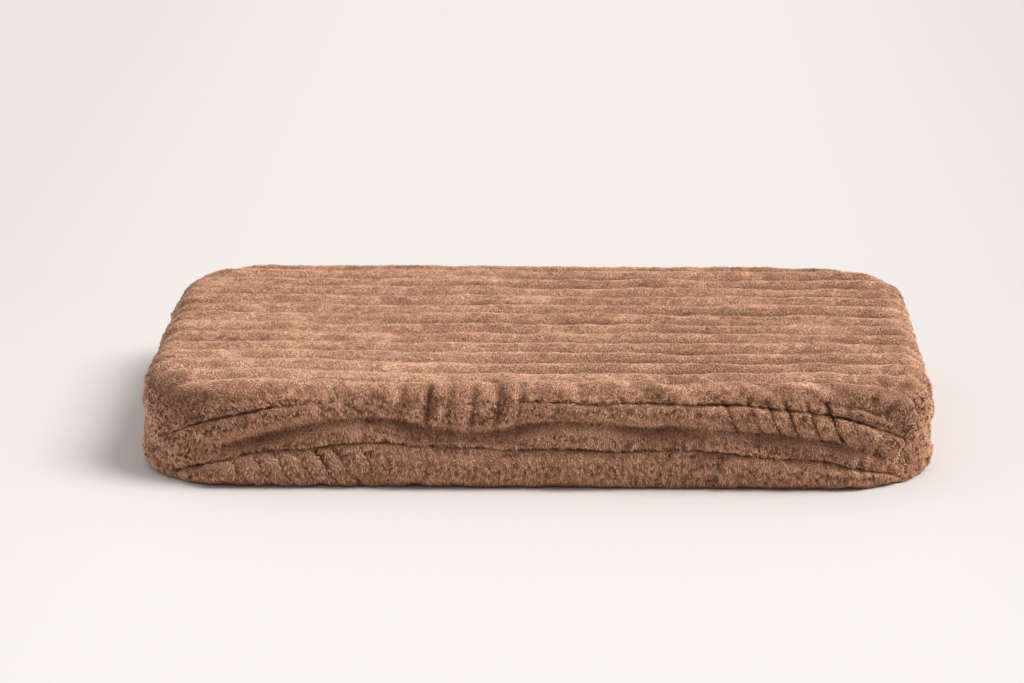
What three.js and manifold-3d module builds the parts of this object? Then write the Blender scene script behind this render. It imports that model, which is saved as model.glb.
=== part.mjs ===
// Pet cushion bed: a boxed plush cover, closed by a zip in its back band, over a lined
// two-layer foam mattress. Millimetres, +Z up. The origin is the centre of the underside,
// the front faces -Y and the zip is at +Y.

import * as THREE from 'three';
import { mergeVertices } from 'three/addons/utils/BufferGeometryUtils.js';
import Module from 'manifold-3d';

// Cover
const bedWidth = 900; // along X
const bedDepth = 600; // along Y
const bedHeight = 120;
const cornerRadius = 115; // of the plan outline
const edgeRadius = 28; // of the top and bottom edges
const coverThickness = 8; // pile, backing cloth and quilting together
const touchGap = 0.3; // left between pieces that lie against each other

// The two seams that run round the cover, low at the corners and high between them
const lowerSeam = { corner: 13, front: 46, back: 40, side: 40 };
const upperSeam = { corner: 58, front: 100, back: 92, side: 92 };
const seamPower = 4; // how flat a seam's arch is over the middle of a side
const seamSteps = 20;

// Filling
const padClearance = 6; // between the cover's walls and the lined mattress
const skinClearance = 0.5; // above, below and between the layers
const linerThickness = 1;
const linerMouth = { length: 600, height: 24 };
const topperThickness = 35;

// Zip: straight along X in the back band
const zipHeight = 60; // of its centre line above the ground
const slotLength = 640;
const slotHeight = 14;
const tape = { overrun: 10, width: 14, thickness: 0.8 };
const chain = { left: -290, right: 306, gap: 2.4, width: 3, thickness: 2.4 };
const stop = { length: 4, width: 3.4, thickness: 3.2 };
const slider = { x: 299, length: 14, frontWidth: 9.5, rearWidth: 7, plate: 1, room: 0.3 };
const post = { length: 4, width: 1.8 };
const crown = { length: 8, width: 1.6, height: 2.6, bar: 0.8 };
const pull = { length: 26, width: 6.4, thickness: 1, eyeLength: 5, eyeWidth: 2.8, endBar: 1.1 };

const curveSegments = 6;
const edgeSegments = 4;
const farAway = 1000; // reaches past the bed in any direction

const backInside = bedDepth / 2 - coverThickness; // Y of the back band's inner face
const tapeOuterFace = backInside - touchGap;
const tapeInnerFace = tapeOuterFace - tape.thickness;
const chainInnerFace = tapeOuterFace + touchGap;
const chainOuterFace = chainInnerFace + chain.thickness;
const plateInnerFace = chainOuterFace + slider.room;
const plateOuterFace = plateInnerFace + slider.plate;
const pullInnerFace = plateOuterFace + touchGap;
const pivotY = pullInnerFace + pull.thickness / 2;

const wasm = await Module();
wasm.setup();

// Axes for outlines drawn in Y and Z, whose depth runs along X, and for outlines drawn in
// X and Z, whose depth runs along -Y
const axis = (x, y, z) => new THREE.Vector3(x, y, z);
const drawnInYZ = new THREE.Matrix4().makeBasis(axis(0, 1, 0), axis(0, 0, 1), axis(1, 0, 0));
const drawnInXZ = new THREE.Matrix4().makeBasis(axis(1, 0, 0), axis(0, 0, 1), axis(0, -1, 0));

function solidOf(geometry) {
  const bare = geometry.clone();
  bare.deleteAttribute('normal');
  bare.deleteAttribute('uv');
  const merged = mergeVertices(bare);
  return new wasm.Manifold(new wasm.Mesh({
    numProp: 3,
    vertProperties: merged.attributes.position.array,
    triVerts: new Uint32Array(merged.index.array),
  }));
}

function geometryOf(solid) {
  const mesh = solid.getMesh();
  const geometry = new THREE.BufferGeometry();
  geometry.setAttribute('position', new THREE.BufferAttribute(mesh.vertProperties, 3));
  geometry.setIndex(new THREE.BufferAttribute(mesh.triVerts, 1));
  geometry.computeVertexNormals();
  return geometry;
}

// A straight extrusion between two places on the X, Y or Z axis
function extruded(outline, along, from, to) {
  const geometry = new THREE.ExtrudeGeometry(outline, {
    depth: to - from,
    bevelEnabled: false,
    curveSegments,
  });
  geometry.translate(0, 0, along === 'y' ? -to : from);
  if (along === 'x') geometry.applyMatrix4(drawnInYZ);
  if (along === 'y') geometry.applyMatrix4(drawnInXZ);
  return geometry;
}

function block(low, high) {
  const size = high.map((value, index) => value - low[index]);
  const geometry = new THREE.BoxGeometry(...size);
  geometry.translate(...low.map((value, index) => value + size[index] / 2));
  return geometry;
}

function polygon(points) {
  return new THREE.Shape(points.map(([x, y]) => new THREE.Vector2(x, y)));
}

function roundedRectangle(width, depth, radius) {
  const x = width / 2 - radius;
  const y = depth / 2 - radius;
  const quarter = Math.PI / 2;
  const shape = new THREE.Shape();
  shape.moveTo(-x, -y - radius);
  shape.absarc(x, -y, radius, -quarter, 0);
  shape.absarc(x, y, radius, 0, quarter);
  shape.absarc(-x, y, radius, quarter, 2 * quarter);
  shape.absarc(-x, -y, radius, 2 * quarter, 3 * quarter);
  return shape;
}

// The cushion's form, taken in from the outside of the cover by an inset on each side
function cushionForm(sideInset, bottom, top) {
  const edge = edgeRadius - sideInset;
  const flat = 2 * edgeRadius;
  const outline = roundedRectangle(bedWidth - flat, bedDepth - flat, cornerRadius - edgeRadius);
  const geometry = new THREE.ExtrudeGeometry(outline, {
    depth: top - bottom - 2 * edge,
    bevelThickness: edge,
    bevelSize: edge,
    bevelSegments: edgeSegments,
    curveSegments,
  });
  geometry.translate(0, 0, bottom + edge);
  return solidOf(geometry);
}

// All that lies under an arch that spans a side of the bed
function underArch(halfSpan, cornerHeight, middleHeight) {
  const points = [[-halfSpan, -farAway], [halfSpan, -farAway]];
  for (let step = 0; step <= seamSteps; step += 1) {
    const place = 1 - (2 * step) / seamSteps;
    const height = cornerHeight + (middleHeight - cornerHeight) * (1 - place ** seamPower);
    points.push([place * halfSpan, height]);
  }
  return polygon(points);
}

// All that lies under a seam, lowered by a gap
function underSeam(seam, gap) {
  const corner = seam.corner - gap;
  const front = underArch(bedWidth / 2, corner, seam.front - gap);
  const back = underArch(bedWidth / 2, corner, seam.back - gap);
  const side = underArch(bedDepth / 2, corner, seam.side - gap);
  return solidOf(extruded(front, 'y', -farAway, 0))
    .add(solidOf(extruded(back, 'y', 0, farAway)))
    .add(solidOf(extruded(side, 'x', -farAway, farAway)));
}

// The wedge of space that one side of the bed takes, between its two corner seams
function wedge(corners, sign) {
  const outline = corners.map(([x, y]) => [x * sign, y * sign]);
  return solidOf(extruded(polygon(outline), 'z', -farAway, farAway));
}

// The front (-1) or back (1) wedge, which stands away from the side ones by a gap
function longSideWedge(sign) {
  const x = bedWidth / 2 - cornerRadius;
  const y = bedDepth / 2 - cornerRadius + 2 * touchGap;
  return wedge([[-x, y], [x, y], [x + farAway, y + farAway], [-x - farAway, y + farAway]], sign);
}

// The left (-1) or right (1) wedge
function shortSideWedge(sign) {
  const x = bedWidth / 2 - cornerRadius;
  const y = bedDepth / 2 - cornerRadius;
  return wedge([[x, y], [x, -y], [x + farAway, -y - farAway], [x + farAway, y + farAway]], sign);
}

function coverPieces() {
  const wall = cushionForm(0, 0, bedHeight).subtract(
    cushionForm(coverThickness, coverThickness, bedHeight - coverThickness),
  );
  const band = wall
    .intersect(underSeam(upperSeam, touchGap))
    .subtract(underSeam(lowerSeam, 0));
  const backBand = band.intersect(longSideWedge(1)).subtract(zipSlot());
  const reach = 2 * farAway;
  const above = solidOf(block([-reach, -reach, zipHeight + touchGap / 2], [reach, reach, reach]));
  const below = solidOf(block([-reach, -reach, -reach], [reach, reach, zipHeight - touchGap / 2]));
  return {
    top_panel: wall.subtract(underSeam(upperSeam, 0)),
    bottom_panel: wall.intersect(underSeam(lowerSeam, touchGap)),
    front_band: band.intersect(longSideWedge(-1)),
    left_band: band.intersect(shortSideWedge(-1)),
    right_band: band.intersect(shortSideWedge(1)),
    back_band_upper: backBand.intersect(above),
    back_band_lower: backBand.intersect(below),
  };
}

function zipSlot() {
  const halfLength = slotLength / 2;
  const halfHeight = slotHeight / 2;
  return solidOf(block(
    [-halfLength, 0, zipHeight - halfHeight],
    [halfLength, farAway, zipHeight + halfHeight],
  ));
}

// A thin bag with a mouth across its back, through which the foam goes in
function innerLiner() {
  const bottom = coverThickness + skinClearance;
  const outside = cushionForm(coverThickness + padClearance, bottom, bedHeight - bottom);
  const inset = linerThickness;
  const inside = cushionForm(
    coverThickness + padClearance + inset,
    bottom + inset,
    bedHeight - bottom - inset,
  );
  const mouth = solidOf(block(
    [-linerMouth.length / 2, 0, (bedHeight - linerMouth.height) / 2],
    [linerMouth.length / 2, farAway, (bedHeight + linerMouth.height) / 2],
  ));
  return outside.subtract(inside).subtract(mouth);
}

function foamLayers() {
  const inset = coverThickness + padClearance + linerThickness + skinClearance;
  const bottom = coverThickness + linerThickness + 2 * skinClearance;
  const top = bedHeight - bottom;
  const foam = cushionForm(inset, bottom, top);
  const joint = top - topperThickness;
  const topper = solidOf(block([-farAway, -farAway, joint], [farAway, farAway, farAway]));
  const core = solidOf(block(
    [-farAway, -farAway, -farAway],
    [farAway, farAway, joint - skinClearance],
  ));
  return { foam_topper: foam.intersect(topper), foam_core: foam.intersect(core) };
}

// One of the two tapes, above (1) or below (-1) the zip's centre line
function zipTape(side) {
  const near = zipHeight + side * (chain.gap / 2);
  const far = near + side * tape.width;
  const halfLength = slotLength / 2 + tape.overrun;
  return solidOf(block(
    [-halfLength, tapeInnerFace, Math.min(near, far)],
    [halfLength, tapeOuterFace, Math.max(near, far)],
  ));
}

// The envelope of one row of coil, rounded on its outer side
function zipTeeth(side) {
  const near = side * (chain.gap / 2);
  const far = near + side * chain.width;
  const round = chain.thickness / 2;
  const low = zipHeight + Math.min(near, far);
  const high = zipHeight + Math.max(near, far);
  const section = new THREE.Shape();
  section.moveTo(chainInnerFace, low);
  section.lineTo(chainOuterFace - round, low);
  section.quadraticCurveTo(chainOuterFace, low, chainOuterFace, (low + high) / 2);
  section.quadraticCurveTo(chainOuterFace, high, chainOuterFace - round, high);
  section.lineTo(chainInnerFace, high);
  return solidOf(extruded(section, 'x', chain.left, chain.right));
}

// A stop that ends one row beyond the slider
function topStop(side) {
  const near = zipHeight + side * (chain.gap / 2);
  const far = near + side * stop.width;
  const left = chain.right + touchGap;
  return solidOf(block(
    [left, chainInnerFace, Math.min(near, far)],
    [left + stop.length, chainInnerFace + stop.thickness, Math.max(near, far)],
  ));
}

// A stop across both rows, where the zip is fully open
function bottomStop() {
  const right = chain.left - touchGap;
  const halfWidth = chain.gap / 2 + stop.width;
  return solidOf(block(
    [right - stop.length, chainInnerFace, zipHeight - halfWidth],
    [right, chainInnerFace + stop.thickness, zipHeight + halfWidth],
  ));
}

// A slider plate seen from the back: wide at its mouths, towards +X, and narrow behind
function plateOutline() {
  const front = slider.x + slider.length / 2;
  const rear = slider.x - slider.length / 2;
  const neck = slider.x - slider.length / 6;
  const wide = slider.frontWidth / 2;
  const narrow = slider.rearWidth / 2;
  const shape = new THREE.Shape();
  shape.moveTo(rear, zipHeight - narrow);
  shape.lineTo(neck, zipHeight - narrow);
  shape.quadraticCurveTo(slider.x, zipHeight - narrow, slider.x, zipHeight - wide);
  shape.quadraticCurveTo(front, zipHeight - wide, front, zipHeight);
  shape.quadraticCurveTo(front, zipHeight + wide, slider.x, zipHeight + wide);
  shape.quadraticCurveTo(slider.x, zipHeight + narrow, neck, zipHeight + narrow);
  shape.lineTo(rear, zipHeight + narrow);
  return shape;
}

// The bridge over the outer plate, seen from above, that the pull's end bar turns under
function crownOutline() {
  const half = crown.length / 2;
  const top = plateOuterFace + crown.height;
  const shape = new THREE.Shape();
  shape.moveTo(slider.x - half, plateInnerFace);
  shape.lineTo(slider.x + half, plateInnerFace);
  shape.lineTo(slider.x + half, top - crown.bar);
  shape.lineTo(slider.x + half - crown.bar, top);
  shape.lineTo(slider.x - half + crown.bar, top);
  shape.lineTo(slider.x - half, top - crown.bar);
  return shape;
}

function zipSlider() {
  const innerPlate = extruded(
    plateOutline(), 'y',
    tapeInnerFace - slider.room - slider.plate, tapeInnerFace - slider.room,
  );
  const outerPlate = extruded(plateOutline(), 'y', plateInnerFace, plateOuterFace);
  const postStart = slider.x + slider.length / 2 - post.length - slider.plate;
  const middle = block(
    [postStart, tapeInnerFace - slider.room - slider.plate / 2, zipHeight - post.width / 2],
    [postStart + post.length, plateOuterFace - slider.plate / 2, zipHeight + post.width / 2],
  );
  const halfWidth = crown.width / 2;
  const bridge = extruded(crownOutline(), 'z', zipHeight - halfWidth, zipHeight + halfWidth);
  const eye = block(
    [slider.x - crown.length / 2 + crown.bar, plateOuterFace, zipHeight - crown.width],
    [slider.x + crown.length / 2 - crown.bar, plateOuterFace + crown.height - crown.bar,
      zipHeight + crown.width],
  );
  return solidOf(innerPlate)
    .add(solidOf(outerPlate))
    .add(solidOf(middle))
    .add(solidOf(bridge).subtract(solidOf(eye)));
}

// A flat tab that lies over the closed chain, towards -X, with an eye round the crown
function zipPull() {
  const barEnd = slider.x + pull.endBar / 2;
  const round = pull.width / 2;
  const tip = slider.x - pull.length;
  const quarter = Math.PI / 2;
  const shape = new THREE.Shape();
  shape.moveTo(barEnd, zipHeight - round);
  shape.lineTo(barEnd, zipHeight + round);
  shape.absarc(tip + round, zipHeight, round, quarter, 3 * quarter);
  const eyeHigh = slider.x - pull.endBar / 2;
  const eyeLow = eyeHigh - pull.eyeLength;
  const tab = extruded(shape, 'y', pivotY - pull.thickness / 2, pivotY + pull.thickness / 2);
  const eye = block(
    [eyeLow, 0, zipHeight - pull.eyeWidth / 2],
    [eyeHigh, farAway, zipHeight + pull.eyeWidth / 2],
  );
  return solidOf(tab).subtract(solidOf(eye));
}

const looks = {
  plush: { color: 0x8f6850, roughness: 1, metalness: 0 },
  liner_cloth: { color: 0xd8d4cc, roughness: 0.8, metalness: 0 },
  topper_foam: { color: 0xcfd6e0, roughness: 0.95, metalness: 0 },
  core_foam: { color: 0xe6dcb8, roughness: 0.95, metalness: 0 },
  zip_tape: { color: 0x4e382b, roughness: 0.85, metalness: 0 },
  zip_coil: { color: 0x5a4132, roughness: 0.45, metalness: 0 },
  zip_metal: { color: 0x6e5a48, roughness: 0.35, metalness: 0.9 },
};

const bed = new THREE.Group();

function addPart(name, solid, look) {
  const mesh = new THREE.Mesh(geometryOf(solid), new THREE.MeshStandardMaterial(looks[look]));
  mesh.name = name;
  bed.add(mesh);
}

for (const [name, solid] of Object.entries(coverPieces())) addPart(name, solid, 'plush');
addPart('inner_liner', innerLiner(), 'liner_cloth');
const foam = foamLayers();
addPart('foam_topper', foam.foam_topper, 'topper_foam');
addPart('foam_core', foam.foam_core, 'core_foam');
for (const [place, side] of [['upper', 1], ['lower', -1]]) {
  addPart(`zip_tape_${place}`, zipTape(side), 'zip_tape');
  addPart(`zip_teeth_${place}`, zipTeeth(side), 'zip_coil');
  addPart(`zip_top_stop_${place}`, topStop(side), 'zip_metal');
}
addPart('zip_bottom_stop', bottomStop(), 'zip_metal');
addPart('zip_slider', zipSlider(), 'zip_metal');
addPart('zip_pull', zipPull(), 'zip_metal');

export default bed;
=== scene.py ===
"""Pet cushion bed: a boxed cover of ribbed plush, zipped at the back over lined foam. Metres."""

import math
from contextlib import contextmanager
from typing import NamedTuple

import bmesh
import bpy
import numpy as np
from mathutils import Matrix, Vector


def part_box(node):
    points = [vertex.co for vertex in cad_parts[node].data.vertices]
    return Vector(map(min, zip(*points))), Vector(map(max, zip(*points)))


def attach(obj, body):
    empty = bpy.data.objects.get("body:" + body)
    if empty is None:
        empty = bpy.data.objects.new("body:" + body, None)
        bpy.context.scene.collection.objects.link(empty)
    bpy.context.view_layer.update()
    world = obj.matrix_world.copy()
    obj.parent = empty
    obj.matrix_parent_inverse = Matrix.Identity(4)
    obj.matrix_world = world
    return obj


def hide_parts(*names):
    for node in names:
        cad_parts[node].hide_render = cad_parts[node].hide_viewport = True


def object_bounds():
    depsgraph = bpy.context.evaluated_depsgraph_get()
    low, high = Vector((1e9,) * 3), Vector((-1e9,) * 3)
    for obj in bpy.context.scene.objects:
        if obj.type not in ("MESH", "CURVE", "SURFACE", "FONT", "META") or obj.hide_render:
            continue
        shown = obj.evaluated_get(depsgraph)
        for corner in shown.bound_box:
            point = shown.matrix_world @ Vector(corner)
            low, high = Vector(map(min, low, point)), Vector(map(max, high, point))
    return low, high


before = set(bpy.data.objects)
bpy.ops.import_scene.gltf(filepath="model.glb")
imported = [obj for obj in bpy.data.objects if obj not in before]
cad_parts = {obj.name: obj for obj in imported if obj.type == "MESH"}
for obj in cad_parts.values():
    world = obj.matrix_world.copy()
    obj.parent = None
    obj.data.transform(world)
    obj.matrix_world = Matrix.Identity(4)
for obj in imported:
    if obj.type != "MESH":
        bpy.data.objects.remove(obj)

MM = 0.001
CAD_LOW, CAD_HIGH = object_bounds()

# ------ driving sizes
PILE = 4 * MM  # the cloth lies this far inside the frame's outline
CORNER = 111 * MM  # radius of its outline's corners in plan
TOP_EDGE, BOTTOM_EDGE = 30 * MM, 10 * MM  # radii of the rounded edges
UNDERSIDE = 1 * MM  # height of the cloth over the floor, on its flattened pile
UPPER_SEAM = {"corner": 50 * MM, "front": 99 * MM, "right": 86 * MM, "back": 92 * MM, "left": 86 * MM}
LOWER_SEAM = {"corner": 7 * MM, "front": 45 * MM, "right": 38 * MM, "back": 40 * MM, "left": 38 * MM}
SEAM_POWER = 5  # how flat a seam's arch is over the middle of a side
SEAM_WANDER = 2.2 * MM  # how far a seam strays from its arch
FRONT_RISE = {"height": 7 * MM, "at": -190 * MM, "width": 100 * MM}  # of the front's lower seam
FRONT_DROP = {"height": 4 * MM, "from": 150 * MM, "to": 280 * MM}
FAINT_SEAM = (-250 * MM, -50 * MM)  # the front's upper seam hardly shows between these
PANEL_BLEND = 6  # the higher, the nearer to its seam a panel's grid begins to follow it
PANEL_GIVE = 0.55  # the padding moves a panel less than a strip

COLUMNS, ROWS, BAND_ROWS = 96, 64, 8  # coarse steps along X, along Y and up a strip
FINE, ROUGH = 4, 2  # steps of the final and of the simulated grid in each coarse one

RIB_PITCH = 43.5 * MM
RIB_SWELL = 1.8 * MM  # half the height of a rib's round back
RIB_GROOVE, GROOVE_WIDTH = 2.9 * MM, 4.4 * MM  # depth and half width of the groove between two ribs
SEAM_PINCH, PINCH_WIDTH = 2 * MM, 11 * MM  # the broad dip that a seam draws the padding into
SEAM_CREVICE, CREVICE_WIDTH = 3.6 * MM, 2 * MM  # the narrow line along the seam itself
SEAM_DARK = 1.9 * MM  # its pile gets painted shade this near to it

LOCK = {"spacing": 1.6 * MM, "length": 3.6 * MM, "width": 1.4 * MM, "height": 1.8 * MM}
MOST_LOCKS = 49000  # in one piece, which keeps its mesh under 200,000 triangles

HALF = np.array([CAD_HIGH.x - CAD_LOW.x, CAD_HIGH.y - CAD_LOW.y]) / 2 - PILE
TOP_Z = CAD_HIGH.z - PILE
BOTTOM_Z = CAD_LOW.z + UNDERSIDE
SIDES = {
    "front": ((0, -1), (1, 0)),  # its outward direction, and the one that its places run in
    "right": ((1, 0), (0, 1)),
    "back": ((0, 1), (-1, 0)),
    "left": ((-1, 0), (0, -1)),
}
COVER = {  # each piece of the cover, with the node that it stands for
    "top": "top_panel",
    "bottom": "bottom_panel",
    "front": "front_band",
    "right": "right_band",
    "left": "left_band",
    "back_upper": "back_band_upper",
    "back_lower": "back_band_lower",
}
TAPES = [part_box("zip_tape_lower"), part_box("zip_tape_upper")]
ZIP_Z = (TAPES[0][1].z + TAPES[1][0].z) / 2
SLOT_END = TAPES[0][1].x - 8 * MM  # half the length of the zip's slot
SLOT_HALF = 7 * MM  # half its height
SLOT_CLOSING = 12 * MM  # it narrows to nothing over this length past its end


# ------ smooth chance
def unit(vectors):
    """Vectors of length 1 that point the same way."""
    return vectors / np.maximum(np.linalg.norm(vectors, axis=-1, keepdims=True), 1e-9)


def ripple(points, scale, seed, waves=14):
    """A smooth random field over points. Its peaks are about 1 high, and its bumps scale long."""
    rng = np.random.default_rng(seed)
    points = np.asarray(points, float)
    directions = unit(rng.normal(size=(waves, points.shape[-1])))
    rates = directions * (math.pi / scale) * rng.uniform(0.6, 1.5, (waves, 1))
    phases = rng.uniform(0, 2 * math.pi, waves)
    return np.sin(points @ rates.T + phases).sum(-1) / math.sqrt(2 * waves)


def ripple_along(run, scale, seed):
    """The same over places along a line."""
    return ripple(run[..., None], scale, seed)


def smoothstep(value, start, end):
    """0 up to start, 1 from end, and a smooth rise between."""
    share = np.clip((value - start) / (end - start), 0, 1)
    return share * share * (3 - 2 * share)


def bump(distance, width):
    """1 at no distance, and nearly 0 from twice the width."""
    return np.exp(-((distance / width) ** 2))


def between(value, start, end, soft):
    """1 between start and end, and 0 further than soft outside them."""
    return smoothstep(value, start - soft, start) * smoothstep(-value, -end - soft, -end)


# ------ the cushion's form
def half_run(side):
    """The outline's length from the middle of a side to the middle of its corner."""
    return abs(HALF @ np.array(SIDES[side][1])) - CORNER + CORNER * math.pi / 4


def outline(side, place):
    """Points of the plan outline and their outward directions. Place runs from -1 to 1 along a side,
    between the middles of its two corners."""
    outward, along = (np.array(vector, float) for vector in SIDES[side])
    half_along, half_out = abs(HALF @ along), abs(HALF @ outward)
    straight = half_along - CORNER
    run = place * half_run(side)
    turn = np.maximum(np.abs(run) - straight, 0) / CORNER
    sideways = np.where(turn > 0, np.sign(run) * (straight + CORNER * np.sin(turn)), run)
    forward = half_out - CORNER + CORNER * np.cos(turn)
    point = sideways[..., None] * along + forward[..., None] * outward
    normal = (np.sign(run) * np.sin(turn))[..., None] * along + np.cos(turn)[..., None] * outward
    return point, normal


def seam_height(seam, side, place):
    """How high a seam lies along a side: on an arch that it strays from. The front's lower seam
    also rises left of the middle and drops towards its right end."""
    arch = 1 - np.abs(place) ** SEAM_POWER
    run = place * half_run(side)
    seed = 20 + list(SIDES).index(side) + (4 if seam is UPPER_SEAM else 0)
    wander = SEAM_WANDER * ripple_along(run, 70 * MM, seed) * arch
    if side == "front" and seam is LOWER_SEAM:
        rise = FRONT_RISE["height"] * bump(run - FRONT_RISE["at"], FRONT_RISE["width"])
        drop = FRONT_DROP["height"] * smoothstep(run, FRONT_DROP["from"], FRONT_DROP["to"]) * arch
        wander += rise - drop
    return seam["corner"] + (seam[side] - seam["corner"]) * arch + wander


def seam_strength(seam, side, place):
    """How deeply a seam is drawn in: unevenly, and faintly where cloth hangs over it."""
    run = place * half_run(side)
    seed = 90 + list(SIDES).index(side)
    strength = 0.8 + 0.25 * ripple_along(run, 50 * MM, seed) + 0.35 * ripple_along(run, 9 * MM, seed + 5)
    strength = np.maximum(strength, 0.15)
    if side in ("left", "right"):
        strength = 0.65 * strength
    if seam is LOWER_SEAM:
        return strength
    if side == "front":
        faint = 0.85 * between(run, *FAINT_SEAM, 60 * MM)
        return strength * (1 - faint) * (1 - 0.5 * bump(run - 50 * MM, 100 * MM))
    return strength * (1 - 0.75 * smoothstep(np.abs(place), 0.4, 0.8))


def slot_half(place):
    """Half the height of the zip's slot along the back."""
    run = np.abs(place * half_run("back"))
    return SLOT_HALF * (1 - smoothstep(run, SLOT_END, SLOT_END + SLOT_CLOSING))


def over_edge(distance, radius):
    """How far out and away from the flat a point lies, some distance past a rounded edge's rim."""
    turn = np.clip(distance / radius, 0, math.pi / 2)
    straight = np.maximum(distance - radius * math.pi / 2, 0)
    out = np.where(distance < 0, distance, radius * np.sin(turn))
    return out, radius * (1 - np.cos(turn)) + straight


def edge_distance(drop, radius):
    """The distance past the rim at which a rounded edge has fallen by drop."""
    arc = radius * np.arccos(np.clip(1 - drop / radius, -1, 1))
    return np.where(drop < radius, arc, radius * math.pi / 2 + drop - radius)


def edge_shares(height):
    """How far a height is into the rounded top edge and into the rounded bottom edge, 0 to 1."""
    above = np.clip((height - (TOP_Z - TOP_EDGE)) / TOP_EDGE, 0, 1)
    below = np.clip((BOTTOM_Z + BOTTOM_EDGE - height) / BOTTOM_EDGE, 0, 1)
    return above, below


def wall_inset(height):
    """How far inside the outline the cushion's side lies at a height."""
    above, below = edge_shares(height)
    return TOP_EDGE * (1 - np.sqrt(1 - above**2)) + BOTTOM_EDGE * (1 - np.sqrt(1 - below**2))


def wall_normal(outward, height):
    """The cushion's outward direction on its side at a height."""
    above, below = edge_shares(height)
    lift = above - below
    level = np.sqrt(1 - lift**2)
    return np.concatenate([outward * level[..., None], lift[..., None]], axis=-1)


def along_sides(u, v):
    """The side and the place on it that each direction from a panel's middle points to."""
    endwise = np.abs(u) > np.abs(v)
    return [
        ("front", ~endwise & (v < 0), u),
        ("back", ~endwise & (v >= 0), -u),
        ("right", endwise & (u > 0), v),
        ("left", endwise & (u <= 0), -v),
    ]


class Grid:
    """A piece of cover as a grid of points, with what its folds and pile need to know of each: its
    place in the flat pattern (plan), how far up its strip it is (share), its distances inside the
    seams, inside the zip's slot, from the strip's ends and from a corner's line (dart), how its seam
    pulls it (pull, strength), how freely the padding moves it (give), and how much painted shade its
    creases, seams and folds give it, 0 to 1. A distance that means nothing on a piece stays at 1."""

    def __init__(self, columns, rows):
        self.shape = (columns + 1, rows + 1)
        self.points = np.zeros((*self.shape, 3))
        self.plan = np.zeros((*self.shape, 2))
        self.pull = np.zeros((*self.shape, 3))
        self.share, self.painted_shade = np.zeros(self.shape), np.zeros(self.shape)
        self.inside, self.slot, self.ends, self.dart = (np.ones(self.shape) for _ in range(4))
        self.strength, self.give = np.ones(self.shape), np.ones(self.shape)
        self.flipped = False
        self.flat_panel = False

    def normals(self):
        across, up = (np.gradient(self.points, axis=axis) for axis in (0, 1))
        normal = unit(np.cross(across, up))
        return -normal if self.flipped else normal

    # Painted shade: the pile and ground cloth are darkened in creases, seams and folds.
    def add_painted_shade(self, painted_shade):
        self.painted_shade = np.maximum(self.painted_shade, np.clip(painted_shade, 0, 1))

    def press(self, depth, dark=0.0):
        """Sinks the cloth by depth, and adds painted shade to it and its pile, dark per metre of depth.
        """
        self.points -= self.normals() * depth[..., None]
        self.add_painted_shade(dark * depth)

    def flat_size(self):
        """Width, length and area of the flat cloth."""
        across = np.diff(self.plan, axis=0)[:, :-1]
        up = np.diff(self.plan, axis=1)[:-1]
        area = float(np.abs(across[..., 0] * up[..., 1] - across[..., 1] * up[..., 0]).sum())
        return float(np.ptp(self.plan[..., 1], axis=1).max()), float(np.ptp(self.plan[..., 0])), area


def drape(grid, face, radius):
    """Lays a panel's pattern over its rounded edge. Gives how far past the rim each point lies."""
    past = np.abs(grid.plan) - (HALF - CORNER)
    beyond = np.maximum(past, 0)
    length = np.linalg.norm(beyond, axis=-1)
    away = np.sign(grid.plan) * beyond / np.maximum(length, 1e-9)[..., None]
    distance = length + np.minimum(past.max(-1), 0) - (CORNER - radius)
    out, drop = over_edge(distance, radius)
    moved = np.where(distance > 0, out - distance, 0)
    grid.points[..., :2] = grid.plan + away * moved[..., None]
    grid.points[..., 2] = TOP_Z - drop if face == "top" else BOTTOM_Z + drop
    return distance


def panel(face, scale):
    """The top or bottom panel: flat, then over its rounded edge and on to its seam."""
    columns, rows = COLUMNS * scale, ROWS * scale
    grid = Grid(columns, rows)
    radius, seam = (TOP_EDGE, UPPER_SEAM) if face == "top" else (BOTTOM_EDGE, LOWER_SEAM)
    u, v = np.meshgrid(np.linspace(-1, 1, columns + 1), np.linspace(-1, 1, rows + 1), indexing="ij")
    reach = np.maximum(np.maximum(np.abs(u), np.abs(v)), 1e-9)
    border = np.zeros_like(grid.plan)
    seam_distance = np.zeros(grid.shape)
    for side, chosen, place in along_sides(u / reach, v / reach):
        point, outward = outline(side, place[chosen])
        height = seam_height(seam, side, place[chosen])
        drop = TOP_Z - height if face == "top" else height - BOTTOM_Z
        distance = edge_distance(drop, radius)
        border[chosen] = point + outward * (distance - radius)[:, None]
        seam_distance[chosen] = distance
        grid.pull[chosen] = -wall_normal(outward, height)
        grid.strength[chosen] = seam_strength(seam, side, place[chosen])
        grid.dart[chosen] = (1 - np.abs(place[chosen])) * half_run(side)
    square = np.stack([u / reach * border[..., 0].max(), v / reach * border[..., 1].max()], -1)
    follow = (reach**PANEL_BLEND)[..., None]
    grid.plan = reach[..., None] * (square * (1 - follow) + border * follow)
    grid.inside = seam_distance - drape(grid, face, radius)
    grid.flipped = face == "bottom"
    grid.flat_panel = True
    toward_front = smoothstep(-v / reach, 0.6, 1)
    grid.give = PANEL_GIVE * (0.25 + 0.75 * toward_front)
    return grid


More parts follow.
